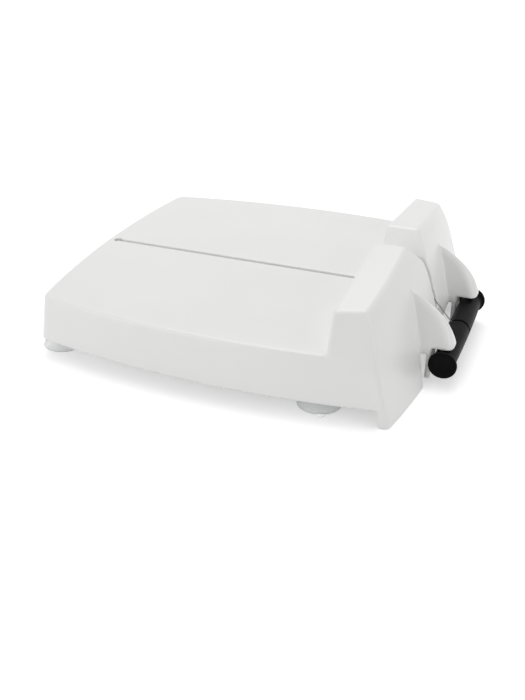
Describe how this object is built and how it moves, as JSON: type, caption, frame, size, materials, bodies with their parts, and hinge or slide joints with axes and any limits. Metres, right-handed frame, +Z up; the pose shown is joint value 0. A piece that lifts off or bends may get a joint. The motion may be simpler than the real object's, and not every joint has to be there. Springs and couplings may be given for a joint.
{
  "type": "wire cheese slicer",
  "caption": "Moulded cheese board on suction feet with a groove, slotted stops, and a cutting wire drawn by a pull handle that parks under hooks.",
  "frame": {"origin": "middle of the footprint on the counter", "axes": "+X along the board towards the handle, +Y away from the near side, +Z up"},
  "size_m": [0.406, 0.3512, 0.113],
  "materials": {
    "white_moulding": "satin moulded",
    "soft_cup": "soft translucent",
    "steel": "drawn bright",
    "ferrule": "crimped satin",
    "black_grip": "fine moulded"
  },
  "bodies": {
    "base": {"board": "white_moulding", "suction_cup_near_left": "soft_cup", "suction_cup_near_right": "soft_cup", "suction_cup_far_left": "soft_cup", "suction_cup_far_right": "soft_cup", "cutting_wire": "steel", "anchor_screw": "steel", "anchor_washer": "steel", "anchor_ferrule": "ferrule", "guide_pin": "steel"},
    "wire_end": {"wire_tail": "steel", "wire_eye": "steel"},
    "handle": {"handle_half_near": "black_grip", "handle_half_far": "black_grip", "handle_core": "steel"}
  },
  "joints": [
    {"name": "handle_pull", "type": "slide", "parent": "base", "child": "wire_end", "axis": [1, 0, 0], "range_m": [0, 0.15], "deforming": ["wire_tail"]},
    {"name": "handle_roll", "type": "hinge", "parent": "wire_end", "child": "handle", "pos_m": [0.1895, 0, 0.023], "axis": [0, 1, 0], "continuous": true}
  ]
}
